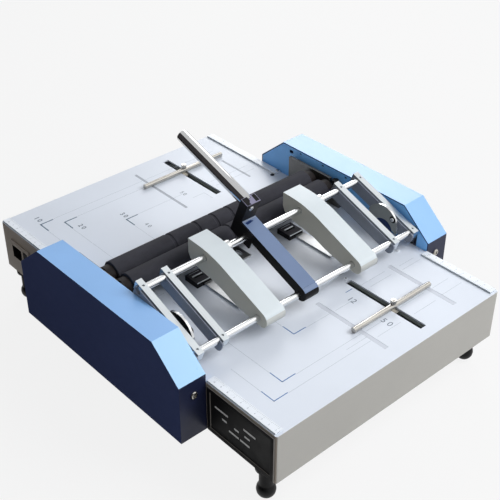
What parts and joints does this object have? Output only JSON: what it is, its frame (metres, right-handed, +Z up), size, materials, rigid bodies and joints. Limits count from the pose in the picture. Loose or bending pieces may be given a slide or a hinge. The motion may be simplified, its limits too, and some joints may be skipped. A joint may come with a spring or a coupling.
{
  "type": "electric booklet stapler",
  "caption": "Counter-top electric booklet stapler: lever-worked stapling heads over a flat paper table, rubber fold rollers between side covers, rulers and sliding gauges.",
  "frame": {"origin": "on the supporting surface under the middle of the base", "axes": "+X to the right along the fold rollers, +Y to the rear along the paper table, +Z up"},
  "size_m": [0.411, 0.498, 0.2435],
  "materials": {
    "base_paint": "fine texture powder coat, pale blue-grey",
    "blue_paint": "semi-gloss sky blue",
    "bright_steel": "bright drawn bar",
    "chrome": "polished plating",
    "black_steel": "black satin",
    "grey_steel": "oiled, dull",
    "zinc_steel": "zinc plated sheet",
    "nickel": "nickel plated, satin",
    "roller_rubber": "ground matt",
    "foot_rubber": "matt",
    "head_plastic": "satin light grey",
    "black_plastic": "fine texture",
    "ruler_white": "printed strip",
    "gear_plastic": "natural acetal",
    "spring_steel": "oiled wire"
  },
  "bodies": {
    "base": {"base_shell": "base_paint", "bottom_plate": "zinc_steel", "foot_front_left": "foot_rubber", "foot_front_right": "foot_rubber", "foot_rear_left": "foot_rubber", "foot_rear_right": "foot_rubber", "ruler_front_left": "ruler_white", "ruler_front_right": "ruler_white", "ruler_rear_left": "ruler_white", "ruler_rear_right": "ruler_white", "left_cover": "blue_paint", "right_cover": "blue_paint", "left_side_frame": "zinc_steel", "right_side_frame": "zinc_steel", "left_bearing_plate": "grey_steel", "right_bearing_plate": "grey_steel", "left_stop_bracket": "grey_steel", "right_stop_bracket": "grey_steel", "left_anvil": "black_steel", "right_anvil": "black_steel", "centre_paper_stop": "zinc_steel", "side_panel": "black_plastic", "mains_inlet": "black_plastic", "drive_motor": "zinc_steel", "knife_solenoid": "black_steel", "return_spring": "spring_steel"},
    "lever": {"front_rod": "bright_steel", "rear_rod": "bright_steel", "left_outer_arm": "bright_steel", "left_outer_web": "black_steel", "left_inner_arm": "bright_steel", "left_inner_web": "black_steel", "right_inner_arm": "bright_steel", "right_inner_web": "black_steel", "right_outer_arm": "bright_steel", "right_outer_web": "black_steel", "left_head": "head_plastic", "right_head": "head_plastic", "lever_channel": "black_steel", "lever_socket": "black_steel", "handle_tube": "chrome"},
    "left_magazine": {"left_magazine": "zinc_steel"},
    "right_magazine": {"right_magazine": "zinc_steel"},
    "rear_roller": {"rear_roller_rubber": "roller_rubber", "rear_roller_shaft": "grey_steel", "rear_roller_gear": "gear_plastic"},
    "front_roller": {"front_roller_rubber": "roller_rubber", "front_roller_shaft": "grey_steel", "front_roller_gear": "gear_plastic"},
    "idler": {"idler_gear": "gear_plastic"},
    "pinion": {"motor_pinion": "bright_steel"},
    "knife": {"fold_knife": "bright_steel", "knife_carrier": "zinc_steel"},
    "front_gauge": {"front_gauge_bar": "nickel"},
    "front_nut": {"front_gauge_nut": "nickel"},
    "rear_gauge": {"rear_gauge_bar": "nickel"},
    "rear_nut": {"rear_gauge_nut": "nickel"},
    "left_knob": {"left_nip_knob": "black_plastic"},
    "right_knob": {"right_nip_knob": "black_plastic"},
    "rocker": {"power_switch": "black_plastic"}
  },
  "joints": [
    {"name": "lever_swing", "type": "hinge", "parent": "base", "child": "lever", "pos_m": [0, -0.1235, 0.128], "axis": [-1, 0, 0], "range_deg": [0, 16.5], "stiffness_Nm_per_rad": 6, "springref_deg": -34.38},
    {"name": "left_magazine_swing", "type": "hinge", "parent": "base", "child": "left_magazine", "pos_m": [-0.0675, -0.1235, 0.128], "axis": [-1, 0, 0], "range_deg": [0, 15.1]},
    {"name": "right_magazine_swing", "type": "hinge", "parent": "base", "child": "right_magazine", "pos_m": [0.0765, -0.1235, 0.128], "axis": [-1, 0, 0], "range_deg": [0, 15.1]},
    {"name": "rear_roller_spin", "type": "hinge", "parent": "base", "child": "rear_roller", "pos_m": [0, 0.0415, 0.129], "axis": [1, 0, 0], "continuous": true},
    {"name": "front_roller_spin", "type": "hinge", "parent": "base", "child": "front_roller", "pos_m": [0, 0.0115, 0.129], "axis": [1, 0, 0], "continuous": true},
    {"name": "idler_spin", "type": "hinge", "parent": "base", "child": "idler", "pos_m": [-0.1895, 0.05785, 0.10565], "axis": [1, 0, 0], "continuous": true},
    {"name": "pinion_spin", "type": "hinge", "parent": "base", "child": "pinion", "pos_m": [-0.1895, 0.0706, 0.08357], "axis": [1, 0, 0], "continuous": true},
    {"name": "knife_lift", "type": "slide", "parent": "base", "child": "knife", "axis": [0, 0, 1], "range_m": [0, 0.018]},
    {"name": "front_gauge_slide", "type": "slide", "parent": "base", "child": "front_gauge", "axis": [0, 1, 0], "range_m": [-0.037, 0.06]},
    {"name": "front_nut_turn", "type": "hinge", "parent": "front_gauge", "child": "front_nut", "pos_m": [0.0588, -0.1905, 0.1133], "axis": [0, 0, 1], "range_deg": [0, 180]},
    {"name": "rear_gauge_slide", "type": "slide", "parent": "base", "child": "rear_gauge", "axis": [0, 1, 0], "range_m": [-0.065, 0.034]},
    {"name": "rear_nut_turn", "type": "hinge", "parent": "rear_gauge", "child": "rear_nut", "pos_m": [0.0738, 0.1927, 0.1133], "axis": [0, 0, 1], "range_deg": [0, 180]},
    {"name": "left_knob_turn", "type": "hinge", "parent": "base", "child": "left_knob", "pos_m": [-0.165, 0.002, 0.134], "axis": [0, 0, 1], "range_deg": [-180, 180]},
    {"name": "right_knob_turn", "type": "hinge", "parent": "base", "child": "right_knob", "pos_m": [0.165, 0.002, 0.134], "axis": [0, 0, 1], "range_deg": [-180, 180]},
    {"name": "switch_rock", "type": "hinge", "parent": "base", "child": "rocker", "pos_m": [-0.1699, 0.197, 0.076], "axis": [0, -1, 0], "range_deg": [0, 18]}
  ],
  "couplings": [
    {"joint": "left_magazine_swing", "follows": "lever_swing", "ratio": 0.91},
    {"joint": "right_magazine_swing", "follows": "lever_swing", "ratio": 0.91},
    {"joint": "front_roller_spin", "follows": "rear_roller_spin", "ratio": -1},
    {"joint": "idler_spin", "follows": "rear_roller_spin", "ratio": -1.1111},
    {"joint": "pinion_spin", "follows": "rear_roller_spin", "ratio": 1.25}
  ]
}
